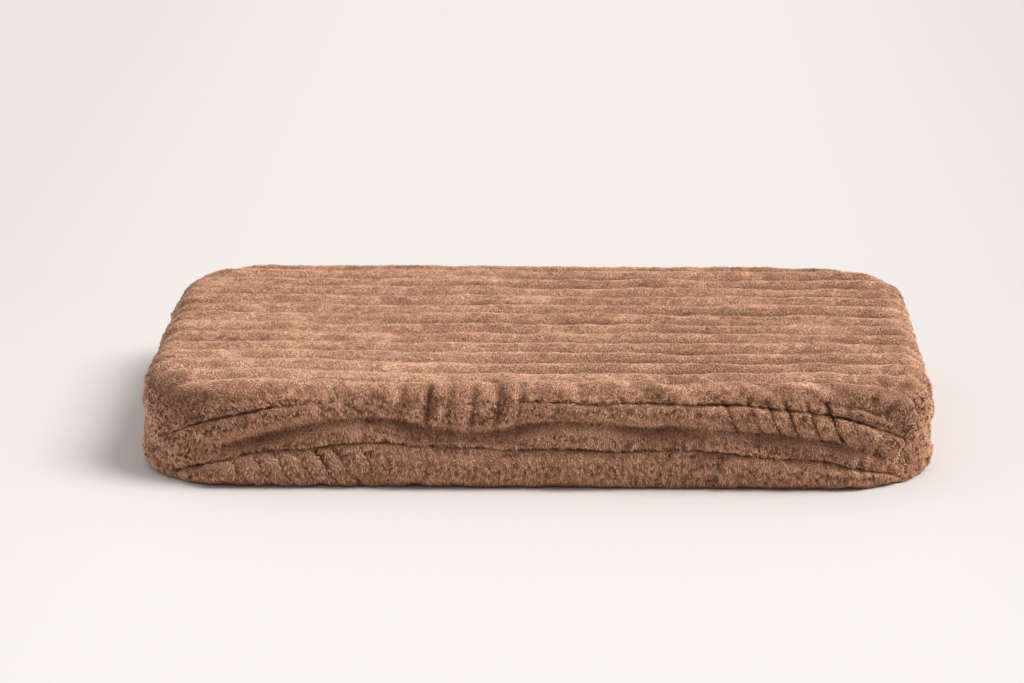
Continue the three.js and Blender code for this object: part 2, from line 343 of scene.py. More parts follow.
def band(name, scale):
    """A strip of the side between its seams, or at the back between a seam and the zip's slot."""
    side = name.split("_")[0]
    columns = (COLUMNS if side in ("front", "back") else ROWS) * scale
    rows = BAND_ROWS * scale
    grid = Grid(columns, rows)
    place = np.linspace(-1, 1, columns + 1)
    low = seam_height(LOWER_SEAM, side, place)
    high = seam_height(UPPER_SEAM, side, place)
    centre = ZIP_Z + ((low + high) / 2 - ZIP_Z) * smoothstep(np.abs(place), 0.84, 1)
    if name == "back_upper":
        low = centre + slot_half(place)
    if name == "back_lower":
        high = centre - slot_half(place)
    share = np.linspace(0, 1, rows + 1)
    height = low[:, None] + (high - low)[:, None] * share
    point, outward = outline(side, place)
    outward = np.repeat(outward[:, None], rows + 1, axis=1)
    grid.points[..., :2] = point[:, None] - outward * wall_inset(height)[..., None]
    grid.points[..., 2] = height
    grid.pull = -wall_normal(outward, height)
    run = place * half_run(side)
    grid.plan = np.stack(np.broadcast_arrays(run[:, None], height), -1)
    grid.ends = (run[-1] - np.abs(run))[:, None] * np.ones(rows + 1)
    grid.dart = grid.ends
    grid.share = np.broadcast_to(share, grid.shape)
    from_low, from_high = height - low[:, None], high[:, None] - height
    grid.inside = np.minimum(from_low, from_high)
    upper, lower = (seam_strength(seam, side, place)[:, None] for seam in (UPPER_SEAM, LOWER_SEAM))
    grid.strength = np.where(grid.share > 0.5, upper, lower)
    if name == "back_upper":
        grid.inside, grid.slot, grid.strength = from_high, from_low, upper
    if name == "back_lower":
        grid.inside, grid.slot, grid.strength = from_low, from_high, lower
    return grid


def form(name, scale):
    """A piece of the cover over a smooth cushion, with scale steps in each coarse one."""
    return panel(name, scale) if name in ("top", "bottom") else band(name, scale)


# ------ folds, ribs and seams
class Creases(NamedTuple):
    """A row of creases side by side, between two places."""

    depth: float
    start: float
    end: float
    pitch: float
    width: float
    seed: int


# Places are along X, except for STRIP_SLANT's along its strip and WRAP_AROUND's round the bed.
UPRIGHT = Creases(6 * MM, -165 * MM, -30 * MM, 26 * MM, 5 * MM, 45)
SLANTED = Creases(5 * MM, 245 * MM, 385 * MM, 23 * MM, 2.4 * MM, 41)
STRAIGHT = Creases(3 * MM, 235 * MM, 330 * MM, 19 * MM, 1.8 * MM, 43)
STRIP_SLANT = Creases(1.6 * MM, -half_run("front"), half_run("front"), 24 * MM, 2.6 * MM, 51)
WRAP_SLANT = Creases(11 * MM, -365 * MM, -200 * MM, 27 * MM, 6.5 * MM, 61)
WRAP_CURL = Creases(4.5 * MM, 120 * MM, 270 * MM, 30 * MM, 6 * MM, 63)
WRAP_AROUND = Creases(1.2 * MM, -2, 2, 30 * MM, 5 * MM, 65)


def gathers(across, row):
    """The depth of a row of creases at each place across it."""
    strayed = across / row.pitch + 0.3 * ripple_along(across, 2.5 * row.pitch, row.seed)
    distance = (strayed - np.round(strayed)) * row.pitch
    strength = 0.8 + 0.4 * ripple_along(across, 1.5 * row.pitch, row.seed + 1)
    inside = between(across, row.start, row.end, row.pitch / 2)
    return row.depth * bump(distance, row.width) * strength * inside


def uneven(points, broad, fine, seed):
    """Relief of bumps of two sizes, each given as its height and length."""
    return broad[0] * ripple(points, broad[1], seed) + fine[0] * ripple(points, fine[1], seed + 1)


def loose(grid):
    """How free the cloth is to fold: 0 where it is sewn to another piece."""
    return smoothstep(np.minimum(np.minimum(grid.inside, grid.slot), grid.ends), 0, 9 * MM)


def front_wrinkles(grid, free):
    """Wrinkles with painted shade in them that cross the front's upper seam: broad upright ones left
    of the middle, narrow slanted ones near the right end. Free says how much of them a point takes."""
    x, y, z = np.moveaxis(grid.points, -1, 0)
    free = free * smoothstep(-y, HALF[1] - 36 * MM, HALF[1] - 14 * MM)
    upright = gathers(x - 0.1 * z, UPRIGHT) * smoothstep(z, 62 * MM, 80 * MM) * free
    slanted = gathers(x + 0.45 * z, SLANTED) * smoothstep(-z, -105 * MM, -96 * MM) * free
    grid.points += grid.pull * (upright + slanted)[..., None]
    # Painted shade in the wrinkles.
    grid.add_painted_shade(110 * upright + 290 * slanted)


BUNCH_DEPTH, BUNCH_PAINTED_SHADE = 2.4 * MM, 0.32
BUNCH_INSET, BUNCH_REACH = 35 * MM, 85 * MM  # of its middle from both sides, and round it
BUNCH_LEFT = 0.45  # how strong it is at the left


def bunch(grid):
    """Small dents with painted shade where the cloth bunches up at the front corners, and painted
    shade over those corners, mostly at the right one.
    """
    x, y = grid.points[..., 0], grid.points[..., 1]
    weight = np.where(x > 0, 1.0, BUNCH_LEFT)
    near = bump(np.hypot(np.abs(x) - HALF[0] + BUNCH_INSET, y + HALF[1] - BUNCH_INSET), BUNCH_REACH)
    dents = np.maximum(ripple(grid.points, 13 * MM, 15) + 0.2, 0) * near
    # Painted shade in the dents, and over the whole bunched corner, mostly the right one.
    grid.press(BUNCH_DEPTH * dents * weight * loose(grid), dark=230)
    grid.add_painted_shade(BUNCH_PAINTED_SHADE * near * weight)


FOLD_DEPTH = {"front": 9.5 * MM, "right": 4 * MM, "left": 4 * MM}
FOLD_SHARE = 0.45  # how far up its strip a fold lies, before it wanders
FRONT_CREST, FRONT_WAVE = -200 * MM, 250 * MM  # the front fold's highest place, and its wave


def fold_place(name, run):
    """Where up a side strip its long fold lies, as a share of the strip."""
    if name != "front":
        return FOLD_SHARE + 0.1 * ripple_along(run, 130 * MM, len(name))
    wave = np.cos(2 * math.pi * (run - FRONT_CREST) / FRONT_WAVE)
    wave = wave * smoothstep(-run, -160 * MM, -100 * MM)
    return FOLD_SHARE + 0.14 * wave - 0.05 * smoothstep(run, 280 * MM, 360 * MM)


def long_fold(name, grid):
    """The fold along the middle of a strip that is a little too tall: a broad dip with a narrow
    line along its bottom, and painted shade along it. The padding hardly moves the cloth there."""
    run = grid.plan[..., 0]
    span = (grid.plan[:, -1, 1] - grid.plan[:, 0, 1])[:, None]
    distance = (grid.share - fold_place(name, run)) * span
    strength = 0.85 + 0.3 * ripple_along(run, 60 * MM, 31 + len(name))
    grid.give = (1 if name == "front" else 0.4) * (1 - 0.8 * bump(distance, 12 * MM))
    width = np.where(distance > 0, 11 * MM, 14 * MM)
    shade_width = np.where(distance > 0, 4 * MM, 12 * MM)
    away = smoothstep(grid.ends, 30 * MM, 100 * MM)
    broad = FOLD_DEPTH[name] * bump(distance, width) * smoothstep(grid.ends, 15 * MM, 80 * MM)
    narrow = 1.2 * MM * bump(distance, 3 * MM) * away
    # Painted shade along the fold.
    grid.add_painted_shade(0.6 * bump(distance, shade_width) * strength * away)
    for depth in (broad, narrow):
        grid.press(depth * strength * loose(grid))


def crease_strip(name, grid):
    """The short creases across a strip, with painted shade in them, where its cloth is gathered
    along a seam.
    """
    run, height = grid.plan[..., 0], grid.plan[..., 1]
    if name == "front":
        fold = fold_place(name, run)
        lower = between(grid.share, 0.06, fold - 0.08, 0.06)
        # Painted shade in the creases.
        grid.press(gathers(run, STRAIGHT) * lower * loose(grid), dark=250)
        front_wrinkles(grid, smoothstep(grid.share, fold, fold + 0.1))
    else:
        chance = smoothstep(ripple_along(run, 90 * MM, 50 + len(name)), 0.15, 0.9)
        slant = run - 0.35 * (UPPER_SEAM["front"] - height)
        # Painted shade in the slanted creases.
        grid.press(gathers(slant, STRIP_SLANT) * chance * loose(grid), dark=180)
    soft = uneven(grid.points, (2 * MM, 42 * MM), (0.9 * MM, 15 * MM), 8)
    grid.press(soft * loose(grid) * (1 if name == "front" else 0.5))


BOLD_RIBS = (160 * MM, -200 * MM)  # where the ribs are boldest
BOLD_REACH = (150 * MM, 40 * MM)


def ribs(grid):
    """How deep the top lies between its ribs' round backs, and in the grooves between them. The
    ribs run along X."""
    x, y = grid.points[..., 0], grid.plan[..., 1]

    def wavy(along, across, scale, seed):
        return ripple(np.stack([x * along, y * across], -1), scale, seed)

    wander = 3.2 * MM * wavy(1, 0.6, 120 * MM, 3) + 3 * MM * wavy(1, 0.4, 420 * MM, 4)
    wander += 0.8 * MM * wavy(1, 1, 26 * MM, 2)
    turn = (y + wander) / RIB_PITCH
    distance = (turn - np.round(turn)) * RIB_PITCH
    strength = 0.5 + 0.5 * smoothstep(x, -300 * MM, 100 * MM)
    strength = strength * (1 + 0.45 * wavy(0.5, 2, 90 * MM, 5))
    strength += 1.3 * bump(x - BOLD_RIBS[0], BOLD_REACH[0]) * bump(y - BOLD_RIBS[1], BOLD_REACH[1])
    broken = np.clip(0.7 + 0.6 * wavy(0.4, 1, 24 * MM, 13), 0, 1.6)
    swell = RIB_SWELL * (1 + np.cos(2 * math.pi * turn)) * np.minimum(strength, 1.8)
    groove = RIB_GROOVE * bump(distance, GROOVE_WIDTH) * broken * np.minimum(strength, 1)
    return swell, groove


POCKETS = ((-0.137, -0.085), (-0.381, -0.05), (-0.373, -0.078), (-0.40, 0.16))  # X and Y of dents
POCKET_DEPTH, POCKET_WIDTH = 2 * MM, 4 * MM


def crease_top(grid):
    """The ribs, calmer towards the back, with the front's wrinkles and a few dents in the pile, and
    painted shade between the ribs, in their grooves and in the dents.
    """
    x, y = grid.plan[..., 0], grid.plan[..., 1]
    calm = 0.3 + 0.7 * smoothstep(HALF[1] - y, 0, 70 * MM)
    free = smoothstep(grid.inside, 2 * MM, 22 * MM) * calm
    swell, groove = ribs(grid)
    # Painted shade between the ribs and in their grooves.
    grid.press(swell * free, dark=85)
    grid.press(groove * free, dark=130)
    soft = uneven(grid.points, (1.5 * MM, 60 * MM), (0.7 * MM, 20 * MM), 6)
    grid.press(soft * loose(grid) * calm)
    front_wrinkles(grid, 1.0)
    for place in POCKETS:
        distance = np.hypot(x - place[0], y - place[1])
        # Painted shade in the dents.
        grid.press(POCKET_DEPTH * bump(distance, POCKET_WIDTH), dark=400)


def crease_bottom(grid):
    """Creases with painted shade and a bulge where the bottom panel wraps up to its seam, deepest at
    the front, a painted shadow along its foot there, and hollows under the bed, clear of the floor."""
    x, y, z = np.moveaxis(grid.points, -1, 0)
    wrap = smoothstep(grid.inside, 0, 8 * MM) * smoothstep(z, BOTTOM_Z + 2 * MM, BOTTOM_Z + 9 * MM)
    facing = smoothstep(-y, HALF[1] - 60 * MM, HALF[1] - 30 * MM)
    drop = LOWER_SEAM["front"] - z
    raised = 4 * MM * between(x, -350 * MM, -210 * MM, 30 * MM)
    # Painted shade in the wrapped creases.
    grid.press((gathers(x - 0.7 * drop, WRAP_SLANT) - raised) * wrap * facing, dark=140)
    curl = x + 0.4 * drop + 4 * MM * ripple(grid.points, 20 * MM, 66)
    grid.press(gathers(curl, WRAP_CURL) * wrap * facing, dark=90)
    chance = smoothstep(ripple(grid.points, 110 * MM, 64), 0.1, 0.8) * (1 - facing)
    around = np.arctan2(y, x) * 0.4
    grid.press(gathers(around, WRAP_AROUND) * chance * wrap, dark=200)
    soft = uneven(grid.points, (2 * MM, 38 * MM), (0.9 * MM, 15 * MM), 10)
    grid.press(soft * wrap * (0.5 + 0.5 * facing))
    bulge = 3 * MM + 3.5 * MM * facing
    grid.press(-bulge * bump(z - 24 * MM, 14 * MM) * smoothstep(grid.inside, 0, 12 * MM))
    # Painted shadow along the front's foot, where it meets the floor.
    grid.add_painted_shade(0.42 * facing * smoothstep(-z, -14 * MM, -BOTTOM_Z - 1 * MM))
    hollow = np.maximum(ripple(grid.points, 26 * MM, 12), 0) * smoothstep(grid.inside, 8 * MM, 20 * MM)
    grid.points[..., 2] += 2.2 * MM * hollow * smoothstep(-grid.inside, -95 * MM, -60 * MM)


def draw_seams(grid):
    """Draws the cloth in along its seams, and turns it in along the zip's slot. Paints shade on the
    pile along the seams and the corners' lines.
    """
    inside, dart = np.maximum(grid.inside, 0), np.maximum(grid.dart, 0)
    edge = SEAM_PINCH * bump(inside, PINCH_WIDTH) + SEAM_CREVICE * bump(inside, CREVICE_WIDTH)
    corner = 0.6 * SEAM_PINCH * bump(dart, PINCH_WIDTH) + SEAM_CREVICE * bump(dart, CREVICE_WIDTH)
    broken = np.clip(0.55 + 0.5 * ripple_along(grid.points[..., 2], 12 * MM, 14), 0.1, 1)
    corner = corner * broken
    reach = bump(inside, 28 * MM) if grid.flat_panel else 1.0
    hem = 3.2 * MM * bump(np.maximum(grid.slot, 0), 4.5 * MM)
    grid.points += grid.pull * (edge * grid.strength + corner * reach + hem)[..., None]
    # Painted shade along the seams and the corners' lines.
    dark = np.maximum(bump(inside, SEAM_DARK) * grid.strength, bump(dart, SEAM_DARK) * reach * broken)
    grid.add_painted_shade(0.95 * np.clip(1.3 * dark, 0, 1))
    grid.points[..., 2] = np.maximum(grid.points[..., 2], CAD_LOW.z + 1 * MM)


# ------ the padding's push
PUFF_REACH = 65 * MM  # a panel moves this far in from its seam
PUFF_FRAMES = 20
PUFF_CAP = 7 * MM  # no point moves further
CLOTH = {
    "quality": 5,
    "mass": 0.3,
    "tension_stiffness": 12,
    "compression_stiffness": 12,
    "shear_stiffness": 4,
    "bending_stiffness": 0.4,
    "use_pressure": True,
    "uniform_pressure_force": 4,
    "shrink_min": -0.05,
}


def puff(grids):
    """How each piece's points move when the padding presses the sides out between their seams.
    They are simulated together, as cloth that is cut a little large."""
    points, faces, pinned, start = [], [], [], 0
    for grid in grids.values():
        quads = grid_faces(grid.shape, grid.flipped)
        nearest = np.minimum(np.minimum(grid.inside, grid.slot), grid.ends)
        held = (nearest < 1 * MM) | (grid.points[..., 2] < BOTTOM_Z + 2 * MM)
        if grid.flat_panel:
            quads = quads[(grid.inside.ravel()[quads] < PUFF_REACH).all(1)]
            held |= grid.inside > PUFF_REACH - 8 * MM
        points.append(grid.points.reshape(-1, 3))
        faces.append(quads + start)
        pinned.append(held.ravel())
        start += held.size
    moved = pushed(*(np.concatenate(parts) for parts in (points, faces, pinned)))
    ends = np.cumsum([len(part) for part in points])[:-1]
    parts = zip(grids.items(), np.split(moved, ends), strict=True)
    return {name: part.reshape(grid.points.shape) for (name, grid), part in parts}


def pushed(points, faces, pinned):
    """How cloth under pressure moves each of its points, when some of them are pinned."""
    used, packed = np.unique(faces, return_inverse=True)
    cloth = mesh_object("puff", points[used], packed.reshape(faces.shape))
    group = cloth.vertex_groups.new(name="pinned")
    group.add(np.flatnonzero(pinned[used]).tolist(), 1.0, "REPLACE")
    simulate(cloth, group.name)
    shape = cloth.evaluated_get(bpy.context.evaluated_depsgraph_get()).to_mesh()
    placed = np.zeros(len(used) * 3, np.float32)
    shape.vertices.foreach_get("co", placed)
    moved = np.zeros_like(points)
    moved[used] = placed.reshape(-1, 3) - points[used]
    length = np.linalg.norm(moved, axis=1, keepdims=True)
    moved *= np.minimum(1, PUFF_CAP / np.maximum(length, 1e-9))
    bpy.data.objects.remove(cloth)
    bpy.context.scene.frame_set(1)
    return moved


def simulate(piece, pinned):
    """Runs a piece as cloth under pressure, with one vertex group pinned."""
    cloth = piece.modifiers.new("cloth", "CLOTH")
    for name, value in CLOTH.items():
        setattr(cloth.settings, name, value)
    cloth.settings.vertex_group_mass = pinned
    cloth.settings.effector_weights.gravity = 0
    cloth.point_cache.frame_start = 1
    cloth.point_cache.frame_end = PUFF_FRAMES
    for step in range(1, PUFF_FRAMES + 1):
        bpy.context.scene.frame_set(step)


def finer(values):
    """Values of the simulated grid at the fine grid's points, softened a little."""
    for axis in (0, 1):
        values = np.moveaxis(values, axis, 0)
        doubled = np.empty((2 * len(values) - 1, *values.shape[1:]))
        doubled[::2] = values
        doubled[1::2] = (values[:-1] + values[1:]) / 2
        doubled[1:-1] = (doubled[:-2] + 2 * doubled[1:-1] + doubled[2:]) / 4
        values = np.moveaxis(doubled, 0, axis)
    return values


def shaped_cover():
    """The fine grid of each piece of the cover, folded, puffed out, creased and sewn."""
    fine = {name: form(name, FINE) for name in COVER}
    rough = {name: form(name, ROUGH) for name in COVER}
    for grids in (fine, rough):
        for name in FOLD_DEPTH:
            long_fold(name, grids[name])
    moves = puff(rough)
    for name, grid in fine.items():
        if name in moves:
            grid.points += finer(moves[name]) * grid.give[..., None]
        if name == "top":
            crease_top(grid)
        elif name == "bottom":
            crease_bottom(grid)
        else:
            crease_strip(name, grid)
        bunch(grid)
        draw_seams(grid)
    return fine


# ------ meshes
@contextmanager
def opened(mesh):
    """A mesh opened for editing."""
    built = bmesh.new()
    built.from_mesh(mesh)
    yield built
    built.to_mesh(mesh)
    built.free()


def put(name, data):
    """Puts a new object in the scene."""
    thing = bpy.data.objects.new(name, data)
    bpy.context.collection.objects.link(thing)
    return thing


def mesh_object(name, points, faces):
    """A smooth mesh from arrays of points and of faces that all have as many corners."""
    mesh = bpy.data.meshes.new(name)
    faces = np.asarray(faces)
    mesh.vertices.add(len(points))
    mesh.vertices.foreach_set("co", np.ascontiguousarray(points, np.float32).ravel())
    mesh.loops.add(faces.size)
    mesh.loops.foreach_set("vertex_index", faces.ravel().astype(np.int32))
    mesh.polygons.add(len(faces))
    mesh.polygons.foreach_set("loop_start", np.arange(len(faces), dtype=np.int32) * faces.shape[1])
    mesh.update(calc_edges=True)
    mesh.polygons.foreach_set("use_smooth", np.ones(len(faces), bool))
    return put(name, mesh)


def add_attribute(piece, label, values):
    layer = piece.data.attributes.new(label, "FLOAT", "POINT")
    layer.data.foreach_set("value", np.ascontiguousarray(values, np.float32).ravel())


def grid_faces(shape, flipped):
    index = np.arange(shape[0] * shape[1]).reshape(shape)
    quads = np.stack([index[:-1, :-1], index[1:, :-1], index[1:, 1:], index[:-1, 1:]], -1)
    quads = quads.reshape(-1, 4)
    return quads[:, ::-1] if flipped else quads


def tube_faces(loops, count, flipped=False):
    """Faces between loops of count points each, one after the other."""
    index = np.arange(loops * count).reshape(loops, count)
    turned = np.roll(index, -1, axis=1)
    others = [turned[:-1], turned[1:], index[1:]]
    if flipped:
        others.reverse()
    return np.stack([index[:-1], *others], -1).reshape(-1, 4)


def cloth_object(name, grid):
    cloth = mesh_object(name, grid.points.reshape(-1, 3), grid_faces(grid.shape, grid.flipped))
    add_attribute(cloth, "painted_shade", grid.painted_shade)
    return cloth


# ------ pile
# A lock is a closed spike of two root corners, a raised back and a tip, each given across, along
# and out of the cloth in lock widths, lengths and heights.
LOCK_POINTS = np.array([(-0.5, 0.0, -0.15), (0.5, 0.0, -0.15), (0.0, 0.4, 0.9), (0.0, 1.0, 0.7)])
LOCK_NORMALS = np.array([(-0.5, -0.1, 1.0), (0.5, -0.1, 1.0), (0.0, -0.05, 1.0), (0.0, 0.35, 1.0)])
LOCK_FACES = np.array([(0, 1, 2), (0, 2, 3), (1, 3, 2), (0, 3, 1)])
LOCK_TIP = np.array([0.0, 0.0, 0.55, 1.0])  # how near to the tip each point lies
CLUMP = 3.2 * MM


def sample(values, i, j):
    """Values of a grid at fractional places."""
    low_i = np.minimum(i.astype(int), values.shape[0] - 2)
    low_j = np.minimum(j.astype(int), values.shape[1] - 2)
    si, sj = (i - low_i), (j - low_j)
    if values.ndim == 3:
        si, sj = si[:, None], sj[:, None]
    return (
        values[low_i, low_j] * (1 - si) * (1 - sj)
        + values[low_i + 1, low_j] * si * (1 - sj)
        + values[low_i, low_j + 1] * (1 - si) * sj
        + values[low_i + 1, low_j + 1] * si * sj
    )


def roots(grid, rng):
    """Fractional grid places of locks about one spacing apart, thinned out on the underside and
    missing from the edges of the zip's slot."""
    lengths = [np.linalg.norm(np.diff(grid.points, axis=axis), axis=-1).sum(axis) for axis in (0, 1)]
    count_i, count_j = (round(length.mean() / LOCK["spacing"]) for length in lengths)
    j, i = np.meshgrid(np.arange(count_j), np.arange(count_i), indexing="ij")
    i = (i + rng.uniform(0, 1, i.shape)).ravel() / count_i * (grid.shape[0] - 1)
    j = (j + rng.uniform(0, 1, j.shape)).ravel() / count_j * (grid.shape[1] - 1)
    underneath = sample(grid.points[..., 2], i, j) < BOTTOM_Z + 1 * MM
    keep = rng.uniform(0, 1, i.shape) > 0.75 * underneath
    keep &= sample(grid.slot, i, j) > 3.5 * MM
    return i[keep], j[keep]


def lock_axes(root, normal, nap, rng, seed):
    """Across, along and out of the cloth for each lock. It leans along the nap and strays from it."""
    lean = np.broadcast_to(np.array(nap, float), root.shape)
    lean = unit(lean - normal * (lean * normal).sum(1, keepdims=True))
    aside = np.cross(normal, lean)
    turn = 0.6 * ripple(root, 40 * MM, seed + 1) + 0.35 * ripple(root, 11 * MM, seed + 2)
    turn += rng.normal(0, 0.4, len(root))
    along = lean * np.cos(turn)[:, None] + aside * np.sin(turn)[:, None]
    return np.stack([np.cross(along, normal), along, normal], 1)


def lock_shades(root, normal, steep, rng, seed):
    """How light each lock is, 0 to 1: by chance, by clump and by patch, with painted light on steep
    cloth and a painted lighter band on the top near its front."""
    shade = 0.5 + rng.uniform(-0.3, 0.3, len(root)) * (1 + 0.8 * steep)
    # Painted light: steep cloth is lightened.
    shade += 0.16 * (1 + 1.8 * steep) * ripple(root, 7 * MM, seed + 5) + 0.32 * steep
    # Painted light: a lighter band on the top towards its front.
    painted_front_light = smoothstep(-root[:, 1], 60 * MM, 240 * MM) * smoothstep(normal[:, 2], 0.75, 0.95)
    shade += 0.14 * painted_front_light
    return np.clip(shade + 0.12 * ripple(root, 24 * MM, seed + 6), 0, 1)


def grow_pile(grid, nap, seed):
    """Points, normals, shades and painted shade of a field of tapered locks. On steep cloth they stand
    up more, with painted shade in the gaps between their clumps."""
    rng = np.random.default_rng(seed)
    i, j = roots(grid, rng)
    count = len(i)
    root = sample(grid.points, i, j)
    normal = unit(sample(grid.normals(), i, j))
    steep = smoothstep(1 - np.abs(normal[:, 2]), 0.3, 0.8)
    # Painted shade in the gaps between clumps, strongest on steep cloth; it also shortens the locks
    # there.
    clump_gap_shade = smoothstep(ripple(root, CLUMP, seed + 4), -0.15, 0.5) * (0.2 + 0.8 * steep)
    painted_shade = np.maximum(sample(grid.painted_shade, i, j), 0.95 * clump_gap_shade)
    axes = lock_axes(root, normal, nap, rng, seed)
    size = rng.uniform(0.7, 1.3, count) * (1 - 0.35 * painted_shade)
    tall = LOCK["height"] * size * (1 + 0.3 * ripple(root, 9 * MM, seed + 3)) * (1 + 0.5 * steep)
    tall *= rng.uniform(0.6, 1.2, count)
    scale = np.stack([LOCK["width"] * size, LOCK["length"] * size, tall], 1)
    points = root[:, None] + np.einsum("tk,nk,nkc->ntc", LOCK_POINTS, scale, axes)
    points[..., 2] = np.maximum(points[..., 2], CAD_LOW.z + 0.4 * MM)
    spread = np.stack([1 + steep, np.ones(count), np.ones(count)], 1)
    normals = np.einsum("tk,nk,nkc->ntc", LOCK_NORMALS, spread, axes)
    normals = unit(normals + (0.12 + 0.1 * steep)[:, None, None] * rng.normal(0, 1, (count, 1, 3)))
    return points, normals, lock_shades(root, normal, steep, rng, seed), painted_shade


def pile_objects(name, grid, nap, seed):
    """A piece's pile, in as few objects as its number of locks allows."""
    points, normals, shade, painted_shade = grow_pile(grid, nap, seed)
    pieces = []
    for chosen in np.array_split(np.arange(len(points)), math.ceil(len(points) / MOST_LOCKS)):
        faces = LOCK_FACES[None] + (np.arange(len(chosen)) * len(LOCK_POINTS))[:, None, None]
        label = f"{name}_{len(pieces) + 1}"
        piece = mesh_object(label, points[chosen].reshape(-1, 3), faces.reshape(-1, 3))
        piece.data.normals_split_custom_set_from_vertices(normals[chosen].reshape(-1, 3))
        add_attribute(piece, "tip", np.tile(LOCK_TIP, len(chosen)))
        add_attribute(piece, "shade", np.repeat(shade[chosen], len(LOCK_POINTS)))
        add_attribute(piece, "painted_shade", np.repeat(painted_shade[chosen], len(LOCK_POINTS)))
        pieces.append(piece)
    return pieces


# ------ foam and liner
LINER_ROOM, FOAM_ROOM = 20 * MM, 22 * MM  # how far inside the frame's outline they lie
LINER_SUNK, TOPPER_SUNK = 11 * MM, 12.5 * MM  # their tops lie this far inside their solids' tops
OUTER_HALF = HALF + PILE
OUTER_CORNER = CORNER + PILE
STRAIGHT_STEP = 10 * MM
CORNER_STEPS = 12


def round_loop(inset):
    """Points round the plan outline, some distance inside it, starting on its right side."""
    centre = OUTER_HALF - OUTER_CORNER
    radius = OUTER_CORNER - inset
    points = []
    for quarter, signs in enumerate([(1, 1), (-1, 1), (-1, -1), (1, -1)]):
        turns = (quarter + np.linspace(0, 1, CORNER_STEPS + 1)) * math.pi / 2
        points.append(centre * signs + radius * np.stack([np.cos(turns), np.sin(turns)], -1))
        length = 2 * centre[quarter % 2]
        steps = round(length / STRAIGHT_STEP)
        along = np.array([-math.sin(turns[-1]), math.cos(turns[-1])])
        points.append(points[-1][-1] + along * length * (np.arange(1, steps)[:, None] / steps))
    return np.concatenate(points)


def side_profile(low, high, low_radius, high_radius, walls=()):
    """Insets and heights up the side of a slab with rounded edges."""
    turns = np.linspace(0, math.pi / 2, 7)
    shares = [(1 - math.sin(turn), 1 - math.cos(turn)) for turn in turns]
    bottom = [(low_radius * first, low + low_radius * second) for first, second in shares]
    top = [(high_radius * second, high - high_radius * first) for first, second in shares]
    return bottom + [(0.0, height) for height in walls] + top


def slab(name, room, profile, crown=0.0):
    """A closed rounded slab whose top rises by crown towards its middle."""
    last_inset, last_height = profile[-1]
    for share in (0.25, 0.5, 0.75, 1.0):
        inset = last_inset + (OUTER_CORNER - room - last_inset) * 0.9 * share
        profile = [*profile, (inset, last_height + crown * math.sin(share * math.pi / 2))]
    loops = []
    for inset, height in profile:
        ring = round_loop(room + inset)
        loops.append(np.column_stack([ring, np.full(len(ring), height)]))
    points = np.stack(loops)
    points += 0.5 * MM * ripple(points, 40 * MM, 70)[..., None] * np.array([1, 1, 0.4])
    piece = mesh_object(name, points.reshape(-1, 3), tube_faces(*points.shape[:2]))
    close_ends(piece.data, points.shape[1])
    return piece


def close_ends(mesh, count):
    """Closes the first and last loops of count points of a tube, each round its middle."""
    with opened(mesh) as built:
        verts = list(built.verts)
        for ends in (verts[count - 1::-1], verts[-count:]):
            middle = built.verts.new(sum((vert.co for vert in ends), Vector()) / count)
            for first, second in zip(ends, ends[1:] + ends[:1], strict=True):
                built.faces.new((first, second, middle)).smooth = True


def foam_pieces():
    core_low, core_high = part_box("foam_core")
    topper_low, topper_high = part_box("foam_topper")
    core = slab("foam_core_block", FOAM_ROOM,
                side_profile(core_low.z - 1 * MM, core_high.z, 10 * MM, 2 * MM))
    topper = slab("foam_topper_block", FOAM_ROOM,
                  side_profile(topper_low.z, topper_high.z - TOPPER_SUNK, 2 * MM, 22 * MM), crown=2 * MM)
    dress(core, "bed", foam("core_foam", (226, 214, 178), 900), "foam_core")
    dress(topper, "bed", foam("topper_foam", (205, 213, 224), 1400), "foam_topper")


MOUTH_HALF = 0.3  # half the length of the liner's mouth
MOUTH_Z = (ZIP_Z - 12 * MM, ZIP_Z + 12 * MM)


def cut_mouth(mesh):
    """Cuts the liner's mouth out of its back."""
    with opened(mesh) as built:
        mouth = []
        for face in built.faces:
            middle = face.calc_center_median()
            behind = middle.y > 0 and abs(middle.x) < MOUTH_HALF
            if behind and MOUTH_Z[0] < middle.z < MOUTH_Z[1]:
                mouth.append(face)
        bmesh.ops.delete(built, geom=mouth, context="FACES")


def liner_pieces():
    """The cloth bag round the foam, open along its mouth behind the zip, with a corded hem."""
    low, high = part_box("inner_liner")
    profile = side_profile(low.z - 2.5 * MM, high.z - LINER_SUNK, 12 * MM, 24 * MM, MOUTH_Z)
    liner = slab("liner_bag", LINER_ROOM, profile, crown=2 * MM)
    cut_mouth(liner.data)
    thick = liner.modifiers.new("thickness", "SOLIDIFY")
    thick.thickness = 0.7 * MM
    thick.offset = -1
    dress(liner, "bed", woven("liner_cloth", (222, 217, 209), 1500), "inner_liner")
    hem = liner_hem()
    dress(hem, "bed", woven("liner_hem", (208, 202, 193), 2400))


def liner_hem():
    """The closed cord round the liner's mouth, with round ends."""
    bend = (MOUTH_Z[1] - MOUTH_Z[0]) / 2
    middle, flat = (MOUTH_Z[0] + MOUTH_Z[1]) / 2, MOUTH_HALF - bend
    turns = np.linspace(-math.pi / 2, math.pi / 2, 9)
    right = [(flat + bend * math.cos(turn), middle + bend * math.sin(turn)) for turn in turns]
    left = [(-x, 2 * middle - z) for x, z in right]
    curve = bpy.data.curves.new("liner_hem", "CURVE")
    curve.dimensions = "3D"
    curve.bevel_depth = 1.1 * MM
    curve.bevel_resolution = 3
    spline = curve.splines.new("POLY")
    spline.points.add(len(right + left) - 1)
    for point, (x, z) in zip(spline.points, right + left, strict=True):
        point.co = (x, OUTER_HALF[1] - LINER_ROOM, z, 1)
    spline.use_cyclic_u = True
    return put("liner_hem", curve)


# ------ the zip
COIL_PITCH = 1.45 * MM
COIL_WIRE = 0.36 * MM  # radius
COIL_STEPS, WIRE_SIDES = 12, 6  # in a turn, and round the wire


